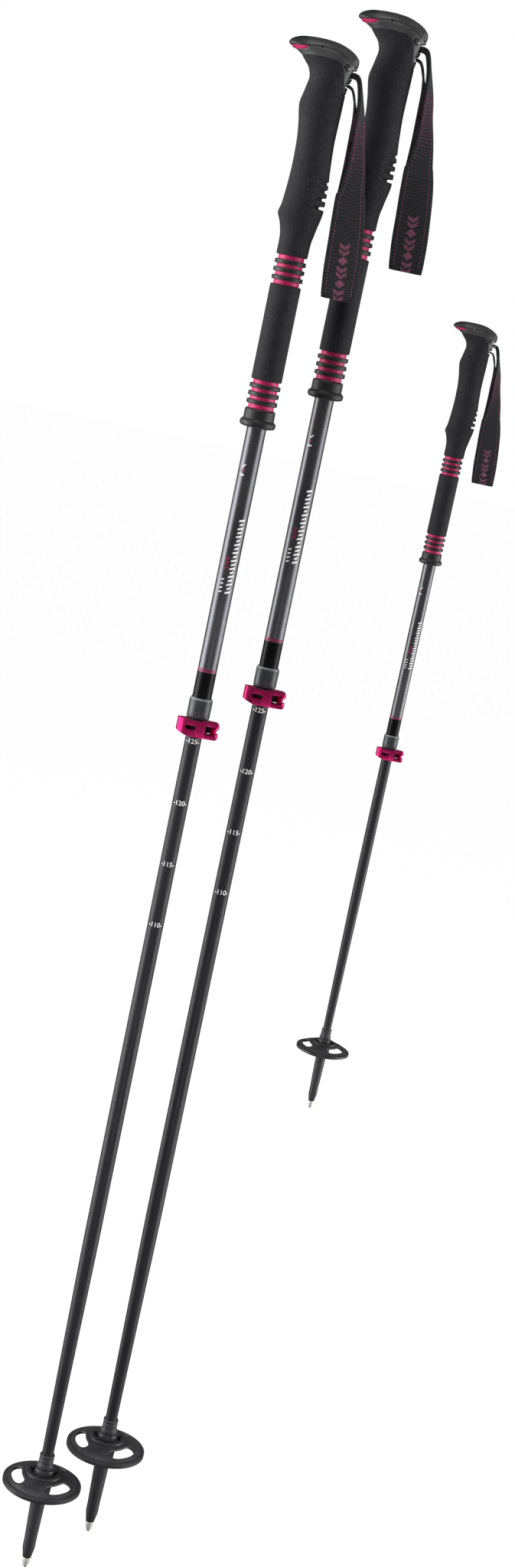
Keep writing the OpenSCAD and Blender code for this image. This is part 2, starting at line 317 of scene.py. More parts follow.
class Finish:
    """A node material: its pattern is read in pole millimetres, and one shader ends it."""

    def __init__(self, name, colour, roughness, metallic=0.0, coat=0.0, sheen=0.0, specular=0.5):
        self.name, self.colour, self.roughness = name, colour, roughness
        self.material = bpy.data.materials.new(f"{name}_finish")
        self.material.use_nodes = True
        self.tree = self.material.node_tree
        self.shader = self.tree.nodes["Principled BSDF"]
        self.set(self.shader, **{"Base Color": (*colour, 1), "Roughness": roughness,
                                 "Metallic": metallic, "Coat Weight": coat, "Coat Roughness": 0.12,
                                 "Sheen Weight": sheen, "Specular IOR Level": specular})
        self.place = self.stored("pole_mm")

    def feed(self, socket, value):
        """A link or a plain value for a socket."""
        if isinstance(value, bpy.types.NodeSocket):
            self.tree.links.new(value, socket)
        else:
            socket.default_value = value

    def set(self, node, **values):
        for socket, value in values.items():
            self.feed(node.inputs[socket], value)
        return node

    def node(self, kind, **settings):
        node = self.tree.nodes.new(f"ShaderNode{kind}")
        for key, value in settings.items():
            setattr(node, key, value)
        return node

    def stored(self, name):
        """Vectors stored at the points of the mesh."""
        return self.node("Attribute", attribute_name=name).outputs["Vector"]

    def math(self, operation, *values):
        node = self.node("Math", operation=operation)
        for socket, value in zip(node.inputs, values):
            self.feed(socket, value)
        return node.outputs[0]

    def noise(self, scale, detail=3.0, stretch=(1, 1, 1)):
        place = self.set(self.node("Mapping"), Vector=self.place, Scale=stretch).outputs[0]
        node = self.node("TexNoise")
        return self.set(node, Vector=place, Scale=scale, Detail=detail).outputs["Fac"]

    def cells(self, scale):
        node = self.node("TexVoronoi")
        return self.set(node, Vector=self.place, Scale=scale).outputs["Distance"]

    def ramp(self, value, low, high, to_low=0.0, to_high=1.0):
        node = self.node("MapRange", interpolation_type="SMOOTHSTEP")
        for socket, number in zip(node.inputs, (value, low, high, to_low, to_high)):
            self.feed(socket, number)
        return node.outputs[0]

    def split(self, place=None):
        """The x, y and z of a vector."""
        node = self.node("SeparateXYZ")
        self.feed(node.inputs[0], place or self.place)
        return node.outputs

    def wave(self, value, pitch):
        """A wave from 0 to 1 along a length."""
        turn = self.math("MULTIPLY", value, 2 * pi / pitch)
        return self.math("MULTIPLY_ADD", self.math("SINE", turn), 0.5, 0.5)

    def mix(self, amount, colour):
        """Lets another colour in where the amount is high."""
        socket = self.shader.inputs["Base Color"]
        before = socket.links[0].from_socket if socket.is_linked else socket.default_value
        node = self.node("Mix", data_type="RGBA")
        for i, value in ((0, amount), (6, before), (7, (*colour, 1))):
            self.feed(node.inputs[i], value)
        self.feed(socket, node.outputs[2])

    def mottle(self, scale, depth, stretch=(1, 1, 1)):
        """Slow changes of tone and of gloss."""
        cloud = self.noise(scale, 4.0, stretch)
        self.mix(self.ramp(cloud, 0.3, 0.7), tuple(min(1, c * (1 + depth)) for c in self.colour))
        gloss = self.ramp(cloud, 0.25, 0.75, self.roughness - 0.05, self.roughness + 0.06)
        self.feed(self.shader.inputs["Roughness"], gloss)

    def relief(self, height, depth_mm):
        """Fine relief, added to what is there already."""
        node = self.set(self.node("Bump"), Height=height, Distance=depth_mm * 0.001, Strength=1.0)
        socket = self.shader.inputs["Normal"]
        if socket.is_linked:
            self.feed(node.inputs["Normal"], socket.links[0].from_socket)
        self.feed(socket, node.outputs[0])


def plastic(name, colour, roughness, grain=2.6, depth=0.05):
    """Moulded plastic with spark-eroded grain."""
    finish = Finish(name, colour, roughness)
    finish.mottle(0.12, 0.35)
    finish.relief(finish.noise(grain, 4), depth)
    finish.relief(finish.cells(grain * 0.6), depth * 0.5)
    return finish


def even(name, colour, roughness, mottle, *reliefs, **settings):
    """An even finish: its mottle, and the scale, detail, stretch and depth of each fine relief."""
    finish = Finish(name, colour, roughness, **settings)
    finish.mottle(*mottle)
    for scale, detail, stretch, depth in reliefs:
        finish.relief(finish.noise(scale, detail, stretch), depth)
    return finish


def metal(name, colour, roughness):
    """Turned metal with its fine lines."""
    return even(name, colour, roughness, (0.2, 0.2), (2.0, 5, (0.02, 0.02, 3.0), 0.006), metallic=1.0)


def rubber(name, colour, roughness):
    """Soft moulded rubber."""
    return even(name, colour, roughness, (0.25, -0.22), (4.0, 3, (1, 1, 1), 0.02), sheen=0.08)


def aluminium_finish():
    """Dark grey metallic tube with faint drawing lines."""
    return even("shaft_aluminium", (0.118, 0.117, 0.129), 0.34, (0.06, 0.3, (1, 1, 0.25)),
                (3.0, 5, (1, 1, 0.04), 0.008), metallic=0.8)


def carbon_finish():
    """Wrapped carbon under lacquer: crossing tows, faint under a clear coat."""
    finish = Finish("carbon", (0.018, 0.0176, 0.0235), 0.50, coat=0.05, specular=0.36)
    finish.mottle(0.07, 0.5, (1, 1, 0.35))
    x, y, height = finish.split()
    arc = finish.math("MULTIPLY", finish.math("ARCTAN2", y, x), LOWER_R)
    rising, falling = (finish.wave(finish.math(way, height, arc), 3.2) for way in ("ADD", "SUBTRACT"))
    tows = finish.math("MAXIMUM", rising, falling)
    finish.mix(finish.ramp(tows, 0.75, 1.0, 0.0, 0.3), (0.045, 0.044, 0.055))
    finish.relief(tows, 0.012)
    finish.relief(finish.noise(3.0, 4, (1, 1, 0.2)), 0.01)
    return finish


def sleeve_finish():
    """Dark grey moulded sleeve, with a paler band along its upper rim: a painted highlight on the chamfer."""
    finish = plastic("sleeve_plastic", (0.044, 0.048, 0.054), 0.36, 3.0, 0.03)
    # Paler colour on the chamfered upper rim: a painted highlight.
    finish.mix(finish.ramp(finish.split()[2], 751.5, 752.3, 0.0, 0.8), (0.30, 0.31, 0.33))
    return finish


def anodised_finish():
    """Bright magenta anodised metal, paler along its convex edges: partly edge wear, partly a painted edge
    highlight.
    """
    finish = Finish("anodised_pink", (0.56, 0.0004, 0.088), 0.36, metallic=0.75, specular=0.1)
    finish.mottle(0.3, -0.35)
    # Paler magenta where the mesh is pointed, on convex edges: a painted edge highlight that also stands for
    # edge wear.
    edge = finish.node("NewGeometry").outputs["Pointiness"]
    finish.mix(finish.ramp(edge, 0.55, 0.65, 0.0, 0.35), (0.9, 0.06, 0.30))
    finish.relief(finish.noise(3.5, 4), 0.02)
    return finish


def foam_finish():
    """Closed-cell foam: open pores, rubbed smooth in places."""
    finish = Finish("foam", (0.020, 0.0195, 0.0235), 0.78, sheen=0.03, specular=0.3)
    finish.mottle(0.11, 0.45)
    dark, pale = finish.noise(0.55, 3, (1, 1, 0.6)), finish.noise(0.8, 4)
    finish.mix(finish.ramp(dark, 0.42, 0.62, 0.0, 0.55), (0.011, 0.011, 0.013))
    finish.mix(finish.ramp(pale, 0.55, 0.7, 0.0, 0.45), (0.045, 0.044, 0.049))
    finish.relief(finish.cells(1.9), 0.10)
    finish.relief(finish.noise(6.0, 3), 0.05)
    return finish


def shell_finish():
    """Mid-grey bezel, a little paler towards the tail."""
    finish = plastic("shell_plastic", (0.062, 0.062, 0.064), 0.42)
    finish.mix(finish.ramp(finish.split()[2], 1236, 1220, 0.0, 0.7), (0.085, 0.085, 0.088))
    return finish


def cap_finish():
    """Soft-touch cap: cross ribs over its rear with paler crests, a painted highlight on each rib, and a
    glossy darker field on its nose.
    """
    finish = plastic("cap_plastic", (0.042, 0.042, 0.043), 0.42, 1.8, 0.07)
    x, _, z = finish.split()
    ribs = finish.wave(finish.math("ADD", x, z), 1.7)
    # Paler colour on the crests of the rear ribs: painted highlight streaks.
    painted_rib_highlight = finish.math("MULTIPLY", finish.ramp(ribs, 0.5, 0.9), finish.ramp(x, 4.0, 14.0, 0.0, 0.8))
    finish.mix(painted_rib_highlight, (0.12, 0.12, 0.123))
    finish.relief(finish.math("MULTIPLY", ribs, finish.ramp(x, 2.0, 9.0)), 0.35)
    finish.mix(finish.ramp(x, -17.0, -22.0), (0.012, 0.013, 0.014))
    return finish


def webbing_finish():
    """Black ribbed webbing: weft ribs, warp threads, mauve threads in its narrow part."""
    finish = Finish("webbing", (0.009, 0.009, 0.010), 0.86, sheen=0.04, specular=0.2)
    across, along, _ = finish.split(finish.stored("cloth"))
    z = finish.split()[2]
    ribs = finish.wave(along, RIB_PITCH)
    finish.mix(finish.ramp(ribs, 0.25, 0.9, 0.0, 0.9), (0.085, 0.090, 0.092))
    threads = finish.wave(across, 0.62)
    warp = finish.math("MULTIPLY", finish.ramp(threads, 0.5, 1.0, 0.0, 0.35), ribs)
    finish.mix(warp, (0.09, 0.09, 0.10))
    narrow = finish.math("MULTIPLY", finish.ramp(z, 1150, 1185, 0.1, 0.85), finish.ramp(z, 1204, 1194))
    mauve = finish.ramp(finish.wave(along, RIB_PITCH * 2), 0.55, 0.85)
    finish.mix(finish.math("MULTIPLY", narrow, mauve), (0.115, 0.030, 0.062))
    finish.relief(threads, 0.05)
    finish.relief(finish.noise(4.0, 3), 0.05)
    return finish


def thread_finish():
    """Mauve thread of the stitches and woven blocks."""
    finish = Finish("mauve_thread", (0.27, 0.075, 0.15), 0.8, sheen=0.3)
    finish.mottle(0.5, 0.35)
    across, along, _ = finish.split(finish.stored("cloth"))
    finish.relief(finish.math("MAXIMUM", finish.wave(along, 0.65), finish.wave(across, 0.5)), 0.08)
    return finish


def ink(name, colour, painted_glow=0.0):
    """Printed ink, with a little glow of its own: painted light that brightens the print."""
    finish = Finish(name, colour, 0.4)
    finish.mottle(0.8, -0.15)
    # Emission on the ink: a painted glow, as the print is no lamp.
    finish.set(finish.shader, **{"Emission Color": (*colour, 1), "Emission Strength": painted_glow})
    return finish


FINISHES = {finish.name: finish.material for finish in (
    Finish("ferrule_steel", (0.92, 0.90, 0.81), 0.35, metallic=0.1),
    metal("carbide", (0.10, 0.10, 0.105), 0.4), plastic("tip_plastic", (0.040, 0.039, 0.044), 0.55),
    plastic("basket_plastic", (0.030, 0.0295, 0.032), 0.42), carbon_finish(),
    plastic("plug_plastic", (0.35, 0.35, 0.35), 0.5), aluminium_finish(), sleeve_finish(),
    anodised_finish(), metal("bolt_steel", (0.5, 0.5, 0.51), 0.3),
    metal("dark_steel", (0.24, 0.24, 0.245), 0.35), foam_finish(),
    rubber("pink_rubber", (0.85, 0.012, 0.175), 0.5), rubber("rib_rubber", (0.013, 0.013, 0.0145), 0.5),
    shell_finish(), cap_finish(), webbing_finish(), thread_finish(),
    ink("white_ink", (0.85, 0.85, 0.84), 0.4), ink("pink_ink", (0.30, 0.025, 0.09)),
    Finish("black_ink", (0.004, 0.004, 0.005), 0.35, specular=0.15))}


# ---------------------------------------------------------------- tip end

def tip_point():
    """Ferrule with a turned shoulder, and the hollow-faced insert in its end."""
    ferrule = lathe("ferrule", [
        (0, 1.4), (2.1, 1.2, 0.3), (2.5, 2.2), (3.0, 4.6), (3.5, 6.4), (3.6, 7.2), (3.6, 8.2, 0.1),
        (3.45, 8.4, 0.1), (3.6, 8.6, 0.1), (3.6, 9.3, 0.1), (2.4, 9.3), (2.4, TIP_HEIGHT),
        (0, TIP_HEIGHT)], 0.35, closed=False)
    insert = lathe("insert", [(0, 0.9), (0.9, 0.35, 0.2), (1.2, 0, 0.1), (1.3, 0.4, 0.1), (1.3, 6.5),
                              (0, 6.5)], 0.2, 48, closed=False)
    return joined("tip_point", (ferrule, "ferrule_steel"), (insert, "carbide"))


def tip_body():
    """Tip moulding with its land, shoulder, groove and rim."""
    return lathe("tip_body", [
        (2.4, 9.3), (3.7, 9.3, 0.4), (4.1, 12.5, 2), (5.2, 18, 1.5), (5.2, 27, 2), (5.9, 50, 6), (6.1, 58, 4),
        (6.1, 92.3, 0.3), (6.9, 92.7, 0.5), (6.9, 95, 0.6), (6.1, 96.5, 0.5), (6.1, 100.8, 0.4), (5.7, 101.2),
        (5.7, 102.1, 0.2), (6.25, 102.5, 0.4), (6.25, 104, 0.5), (5.6, 104.5, 0.3), (4.93, 104.5),
        (4.93, 45), (2.4, 45)], 0.3, 112)


def web_face(r, radii, heights, side):
    """Height of the basket's upper (side 1) or lower (side -1) face, with the bead of its rim."""
    bead = np.sqrt(np.maximum(BEAD_R ** 2 - (r - BEAD_AT) ** 2, 0)) - 99 * (r < 29)
    return side * np.maximum(side * np.interp(r, radii, heights), side * BEAD_Z + bead)


def opening_outline(inset):
    """One opening of the basket, widened by an inset into the web."""
    inner, outer, half = 18.4 - inset, 26.8 + inset, radians(33)
    near, far = half + inset / inner, half + inset / outer
    corners = [(inner, -near), (outer, -far), (outer, 0), (outer, far), (inner, near), (inner, 0)]
    steps = np.linspace(0, 1, 12, endpoint=False)
    dense = [(a[0] + (b[0] - a[0]) * t, a[1] + (b[1] - a[1]) * t)
             for a, b in zip(corners, corners[1:] + corners[:1]) for t in steps]
    flat = np.array([(r * cos(a), r * sin(a)) for r, a in dense])
    for _ in range(int(round(46 + 10 * inset))):
        flat = (np.roll(flat, 1, 0) + 2 * flat + np.roll(flat, -1, 0)) / 4
    return flat


def openings(*insets):
    """The three openings at each inset."""
    outlines = []
    for angle in (radians(-45 + 120 * i) for i in range(3)):
        c, s = cos(angle), sin(angle)
        outlines += [opening_outline(inset) @ np.array([[c, s], [-s, c]]) for inset in insets]
    return outlines


def inside(points, outline):
    """Which flat points lie inside a closed outline."""
    x, y = points[:, None, 0], points[:, None, 1]
    a, b = outline[None], np.roll(outline, -1, 0)[None]
    crosses = (a[..., 1] > y) != (b[..., 1] > y)
    rise = np.where(b[..., 1] == a[..., 1], 1e-9, b[..., 1] - a[..., 1])
    reach = a[..., 0] + (y - a[..., 1]) * (b[..., 0] - a[..., 0]) / rise
    return (crosses & (x < reach)).sum(1) % 2 == 1


def gap_to(points, outline):
    """Distance from flat points to a closed outline."""
    a, b = outline[None], np.roll(outline, -1, 0)[None]
    edge = b - a
    t = np.clip(((points[:, None] - a) * edge).sum(-1) / (edge ** 2).sum(-1), 0, 1)
    return np.sqrt((((a + edge * t[..., None]) - points[:, None]) ** 2).sum(-1)).min(1)


def basket_web():
    """Domed web with three bean-shaped openings, their edges rolled over."""
    holes, lip = openings(0), 0.95
    circle = np.linspace(0, 2 * pi, 144, endpoint=False)
    ring = np.stack([np.cos(circle), np.sin(circle)], 1)
    field = np.vstack([ring * r for r in (14.5, 16, 18, 20, 22, 24, 26, 27.5, 28.7, 29, 29.6, 30.3, 30.9,
                                          31.5, 32.1, 32.5, 32.8, 32.95)])
    clear = ~np.any([inside(field, outline) for outline in openings(1.9)], axis=0)
    loops = [loop[np.hypot(*loop.T) < RIM_R - 0.1] for loop in openings(0.08, 0.3, 0.6, 1.0, 1.7)]
    flat = np.vstack([ring * RIM_R, ring * WEB_ROOT] + holes + loops + [field[clear]])
    edges, start = [], 0
    for count in [len(ring), len(ring)] + [len(hole) for hole in holes]:
        edges += [(start + i, start + (i + 1) % count) for i in range(count)]
        start += count
    result = delaunay_2d_cdt([Vector(p) for p in flat], edges, [], 0, 1e-4)
    flat = np.array([tuple(v) for v in result[0]])
    faces = np.array([face for face in result[2] if len(face) == 3])
    centres = flat[faces].mean(1)
    reach = np.hypot(*centres.T)
    in_hole = np.any([inside(centres, hole) for hole in holes], axis=0)
    faces = faces[(reach > WEB_ROOT * 0.999) & (reach < RIM_R) & ~in_hole]
    r = np.hypot(*flat.T)
    edge = np.minimum.reduce([gap_to(flat, hole) for hole in holes])
    top = web_face(r, [13, 15.5, 20, 26, 30.9], [86.4, 85.8, 85.3, 82.8, 79.2], 1)
    bottom = web_face(r, [13, 19, 25, 30.9], [84.4, 83.4, 80.6, 76.6], -1)
    middle = (top + bottom) / 2
    fade = np.sqrt(np.clip(1 - (1 - np.clip(edge / lip, 0, 1)) ** 2, 0, 1))
    fade = np.where(r > RIM_R - 0.01, 0, fade)
    count = len(flat)
    skins = [np.column_stack([flat, middle + (level - middle) * fade]) for level in (top, bottom)]
    skin = [tuple(face) for face in faces] + [tuple(face[::-1] + count) for face in faces]
    inner = [i for i in range(count) if abs(r[i] - WEB_ROOT) < 0.05]
    inner.sort(key=lambda i: atan2(flat[i, 1], flat[i, 0]))
    skin += [(a, b, b + count, a + count) for a, b in zip(inner, inner[1:] + inner[:1])]
    return tidied(solid("web", np.vstack(skins), [tuple(map(int, face)) for face in skin]))


def basket():
    """Basket: web, raised hub disc with a recess, slots in it, and a collar below."""
    hub = lathe("hub", [
        (6.18, 70), (8.2, 70, 0.5), (8.8, 83.2, 0.5), (14.2, 84.2, 0.6), (14.5, 87.4, 0.4), (14.1, 88, 0.5),
        (11.0, 88, 0.4), (10.4, 85.8, 0.4), (7.9, 85.8, 0.3), (7.7, 90.6, 0.5), (7.2, 91.5, 0.4),
        (6.18, 91.5)], 0.3, 112)
    for angle in (-128, -84, 20, 92, 164):
        slot = block((7.9, -1.7, 82), (12.0, 1.7, 92))
        slot.data.transform(Matrix.Rotation(radians(angle), 4, "Z"))
        combined(hub, slot)
    bevelled(hub, 0.18, 2, 40)
    return joined("basket", (basket_web(), "basket_plastic"), (hub, "basket_plastic"))


# ---------------------------------------------------------------- shafts

def lower_shaft():
    """Tapered lower tube."""
    return lathe("lower_shaft", [
        (LOWER_TIP_R, LOWER_START), (LOWER_TIP_R, TAPER_START, 8), (LOWER_R, TAPER_END, 30),
        (LOWER_R, LOWER_TOP, 0.3), (LOWER_R - LOWER_WALL, LOWER_TOP), (LOWER_R - LOWER_WALL, TAPER_END),
        (LOWER_TIP_R - LOWER_WALL, TAPER_START), (LOWER_TIP_R - LOWER_WALL, LOWER_START)], 0.2)


def guide_plug():
    """Plug in the top of the lower shaft, with two rings that ride in the bore."""
    return lathe("guide_plug", [
        (2.5, LOWER_TOP - 18), (5.25, LOWER_TOP - 18), (5.25, LOWER_TOP), (6.87, LOWER_TOP), (6.87, 860),
        (6.3, 860.6), (6.3, 864), (6.87, 864.6), (6.87, LOWER_TOP + 18, 0.8),
        (2.5, LOWER_TOP + 18)], 0.25, 64)


def upper_shaft():
    """Upper tube."""
    return tube("upper_shaft", UPPER_R, UPPER_BORE, UPPER_BOTTOM, SHAFT_TOP, 0.25)


def printed_bar(arc, z, width, height, lean):
    """A thin bar printed round the upper shaft; its ends lie lean below and above its middle."""
    rows = []
    for step in np.linspace(-1, 1, 9):
        turn = (arc + step * width / 2) / UPPER_R - pi / 2
        low, high = (z + side * height / 2 + step * lean for side in (-1, 1))
        rows.append([(r * cos(turn), r * sin(turn), level) for r, level in
                     zip(UPPER_R + np.array((0.03, 0.03, -0.02, -0.02)), (low, high, high, low))])
    return grid("bar", np.array(rows), wrap_rows=False, caps=True)


def shaft_graphics():
    """Print on the upper shaft: glossy band, pink ring, a ladder of slanted bars and a small mark."""
    bars = [((3.6, 838 + 3.1 * i, (4.4, 2.6, 4.4, 3.4)[i % 4], 1.5, 0.6), "white_ink") for i in range(19)]
    bars += [((-1.4, 857 + 3.4 * i, 2.6, 2.4, 0.5), "pink_ink") for i in range(3)]
    bars += [((-2.4, 838 + 3.2 * i, 2.2, 0.9, 0.4), "white_ink") for i in range(4)]
    bars += [((-4.0, 928, 3.4, 1.0, 0.0), "white_ink"), ((-4.0, 931.5, 3.0, 1.4, 0.9), "pink_ink"),
             ((-3.6, 935, 2.6, 1.0, 1.1), "white_ink")]
    rings = [(tube("ring", UPPER_R + 0.04, UPPER_R - 0.1, low, high, 0.03), finish)
             for low, high, finish in ((SLEEVE_TOP, 774, "black_ink"), (774.2, 776.8, "pink_ink"))]
    return joined("shaft_graphics", *rings, *[(printed_bar(*bar), finish) for bar, finish in bars])


def scale_number(text, z):
    """A number of the length scale, wrapped round the lower shaft."""
    data = bpy.data.curves.new("number", "FONT")
    data.body, data.size, data.offset = text, 5.4, 0.06
    data.align_x = data.align_y = "CENTER"
    label = placed("number", data)
    bpy.context.view_layer.update()
    mesh = final_mesh(label)
    bpy.data.objects.remove(label)
    with editing(mesh) as work:
        for cut in np.arange(-7, 7.1, 0.4):
            bmesh.ops.bisect_plane(work, geom=work.verts[:] + work.edges[:] + work.faces[:],
                                   plane_co=(cut, 0, 0), plane_no=(1, 0, 0))
        extruded = bmesh.ops.extrude_face_region(work, geom=work.faces[:])["geom"]
        raised = set(item for item in extruded if isinstance(item, bmesh.types.BMVert))
        for vertex in work.verts:
            radius = LOWER_R + (0.03 if vertex in raised else -0.02)
            turn = vertex.co.x / LOWER_R - pi / 2
            vertex.co = (radius * cos(turn), radius * sin(turn), z + vertex.co.y)
        bmesh.ops.recalc_face_normals(work, faces=work.faces)
    return placed("number", mesh)


def length_scale():
    """The length scale: a number of centimetres every 50 mm."""
    numbers = [scale_number(f"-{125 - 5 * i}-", SCALE_TOP - SCALE_STEP * i) for i in range(4)]
    return joined("length_scale", *[(number, "white_ink") for number in numbers])


# ---------------------------------------------------------------- lock

def clamp_sleeve():
    """Sleeve with a chamfered rim, a shadow line above the band, and its slit."""
    sleeve = lathe("clamp_sleeve", [
        (LOWER_R + 0.08, SLEEVE_BOTTOM), (7.65, SLEEVE_BOTTOM, 0.4), (7.65, 736.6), (9.0, 737.6, 0.5),
        (9.1, 750.2, 0.3), (8.9, 750.5, 0.1), (9.1, 750.8, 0.1), (9.1, 752, 0.6), (8.2, SLEEVE_TOP, 0.4),
        (UPPER_R, SLEEVE_TOP, 0.2), (UPPER_R, UPPER_BOTTOM), (LOWER_R + 0.08, UPPER_BOTTOM)], 0.25, 112)
    combined(sleeve, block((2, -0.7, SLEEVE_BOTTOM - 1), (12, 0.7, UPPER_BOTTOM)))
    return bevelled(sleeve, 0.12, 2, 40)


def clamp_band():
    """Split band with two ears."""
    band = tube("clamp_band", 9.4, 7.75, BAND_BOTTOM, BAND_TOP, 0.35)
    ears = rounded([(8.4, LOCK_Z - 3.2), (15.2, LOCK_Z - 3.2, 1.6), (16.6, LOCK_Z - 1.6, 1),
                    (16.6, LOCK_Z + 1.6, 1), (15.2, LOCK_Z + 3.2, 1.6), (8.4, LOCK_Z + 3.2)], 0.1)
    combined(band, prism(ears, -4.4, 4.4, "y"), "UNION")
    combined(band, block((4, -1, BAND_BOTTOM - 1), (20, 1, BAND_TOP + 1)))
    combined(band, rod((PIVOT_X, LOCK_Z), 1.6, -6, 6))
    return bevelled(band, 0.28, 2, 40)


def laid_across(piece, x, z):
    """The piece turned from the z axis to the y axis, at that place."""
    piece.data.transform(Matrix.Translation((x, 0, z)) @ Matrix.Rotation(radians(90), 4, "X"))
    return piece


def clamp_bolt():
    """Cap screw with a hexagon socket, threaded through the ears into the barrel."""
    screw = lathe("screw", [(0, -6.2), (2.45, -6.2, 0.3), (2.8, -5.8, 0.3), (2.8, -4.4, 0.1), (1.5, -4.4),
                            (1.5, 9.6, 0.3), (0, 9.8)], 0.1, 64, closed=False)
    combined(screw, rod((0, 0), 1.45, -7, -5.1, "z", 6))
    laid_across(bevelled(screw, 0.08, 2, 40), PIVOT_X, LOCK_Z)
    barrel = lathe("barrel", [(0, 724.6), (BARREL_R, 724.6, 0.5), (BARREL_R, 737, 0.5), (0, 737)], 0.4, 64,
                   closed=False)
    barrel.data.transform(Matrix.Translation((PIVOT_X, PIVOT_Y, 0)))
    return joined("clamp_bolt", (screw, "bolt_steel"), (barrel, "anodised_pink"))


def fork_lips():
    """The lips that narrow the fork's mouth round the barrel and leave a gap for the screw."""
    lips = rod((PIVOT_X, PIVOT_Y), 4.1, LOCK_Z - 4, LOCK_Z + 4, "z", 48)
    combined(lips, block((10, -20, LOCK_Z - 1.75), (20, 0, LOCK_Z + 1.75)))
    return combined(lips, block((10, -20, LOCK_Z - 5), (15.9, 0, LOCK_Z + 5)))


def lock_lever():
    """Lever bent round the band: slot, window between the cheeks of its fork, serrated thumb end."""
    plan = rounded([(-15.2, -5.6, 1.2), (-13.8, -10.2, 2.6), (-8.8, -12.8, 3.5), (4, -13.4, 4),
                    (13, -13.2, 3), (18.2, -11.6, 1.6), (18.3, -6.7, 1.6), (14, -5.1, 0.5), (8, -4.9, 0.5),
                    (0, 0), (-13, -4.6, 1)], 1.0, steps=6)
    side = rounded([(-15.4, 727, 1), (-5.5, 723.7, 2), (17.8, 724.3, 1.6), (18.6, 727, 1), (18.6, 734.5, 2),
                    (16.8, 737.6, 2.6), (9.5, 737.8, 2.5), (5, 736.6, 2), (-4, 736.1, 1), (-8, 736.9, 1),
                    (-15.4, 736.9, 1)], 1.0, steps=6)
    window = rounded(rectangle(7.8, LOCK_Z - 3.5, 22, LOCK_Z + 3.5), 1.2)
    slot = rounded([(-8.3, 730.4), (-6.9, 732.6), (-0.6, 732.6), (1.0, 730.8), (-0.6, 729), (-6.9, 729)],
                   1.2, steps=6)
    lever = prism(plan, 720, 742, name="lock_lever")
    combined(lever, prism(side, -20, 20, "y"), "INTERSECT")
    combined(lever, rod((0, 0), 9.8, 715, 745, "z", 96))
    combined(lever, combined(prism(window, -20, 0, "y"), fork_lips()))
    combined(lever, prism(slot, -20, 0, "y"))
    combined(lever, rod((PIVOT_X, PIVOT_Y), BARREL_R + 0.08, 715, 745, "z"))
    for i in range(5):
        y = -10.3 - 0.53 * i if i else -9.6
        combined(lever, rod((-14.2 + 1.05 * i, y), 0.26, 728, 736, "z", 12))
    return bevelled(lever, 0.42, 3, 34)


# ---------------------------------------------------------------- grip

def extension_foam():
    """Plain foam, barely waisted."""
    middle = (FOAM_BOTTOM + FOAM_TOP) / 2
    return lathe("extension_foam", [
        (SEAT_R, FOAM_BOTTOM), (FOAM_R - 0.1, FOAM_BOTTOM, 1.1), (FOAM_R - 0.15, middle, 30),
        (FOAM_R - 0.1, FOAM_TOP, 1.1), (SEAT_R, FOAM_TOP)], 0.3, 112)


def accent_rings():
    """Pink sleeves under the ribs."""
    spans = ((COLLAR_TOP, FOAM_BOTTOM), (FOAM_TOP, GRIP_BOTTOM))
    return joined("accent_rings", *[(tube("sleeve", ACCENT_R, SEAT_R, low, high, 0.2), "pink_rubber")
                                    for low, high in spans])


def foam_rings():
    """Six ribs with well-rounded edges."""
    pitch, half = 5.95, 1.7
    ribs = []
    for z in [base + pitch * i for base in (983.4, 1076.6) for i in range(3)]:
        ribs.append(lathe("rib", [(ACCENT_R, z - half), (FOAM_R, z - half, 1.0), (FOAM_R, z + half, 1.0),
                                  (ACCENT_R, z + half)], 0.1, 112))
    return joined("foam_rings", *[(rib, "rib_rubber") for rib in ribs])


def end_collar():
    """Flange with a body and a short cone below."""
    return lathe("end_collar", [
        (SEAT_R, 964.2), (9.6, 964.2, 0.5), (12.8, 965, 0.6), (13.75, 966.2, 0.8), (13.75, 968.8, 0.9),
        (12.6, 970, 0.5), (FOAM_R, 970.6, 0.6), (FOAM_R, 977.2, 0.9), (10.9, COLLAR_TOP, 0.5),
        (SEAT_R, COLLAR_TOP)], 0.3, 112)


SECTIONS = curve_through(HANDLE, 24)
SECTION_AT = np.linspace(0, len(HANDLE) - 1, len(SECTIONS))
COLUMN_ANGLE = np.linspace(0, 2 * pi, 168, endpoint=False)


def section_of(height):
    """The place in the table of sections of a height."""
    return np.interp(height, SECTIONS[:, 0], SECTION_AT)


def handle_point(place, angle, inset=0.0):
    """A point of the handle's skin, or inset towards the middle of its section."""
    z, front, rear, half = (np.interp(place, SECTION_AT, SECTIONS[:, i]) for i in range(4))
    nose = 1 + 0.10 * np.cos(angle) * smooth_step(z, 1215, 1240)
    middle, reach = (front + rear) / 2, (rear - front) / 2
    x, y = reach * np.cos(angle), half * nose * np.sin(angle)
    shrink = 1 - np.minimum(inset / np.maximum(np.hypot(x, y), 0.1), 0.85)
    return np.stack([middle + x * shrink, y * shrink, z], axis=-1)


def seam_place(seam, angle=COLUMN_ANGLE):
    """Where each column of the handle's skin meets a seam, as a place in the table."""
    line = np.array(rounded(seam, 2.5, closed=False))
    place = np.linspace(section_of(SEAM_START), len(HANDLE) - 2.0, 900)[:, None]
    points = handle_point(place + 0 * angle, angle)
    above = points[..., 2] - np.interp(points[..., 0], line[:, 0], line[:, 1])
    first = np.argmax(above > 0, axis=0)
    columns = np.arange(len(angle))
    a, b = above[first - 1, columns], above[first, columns]
    step = place[1, 0] - place[0, 0]
    return place[first - 1, 0] + step * a / (a - b)


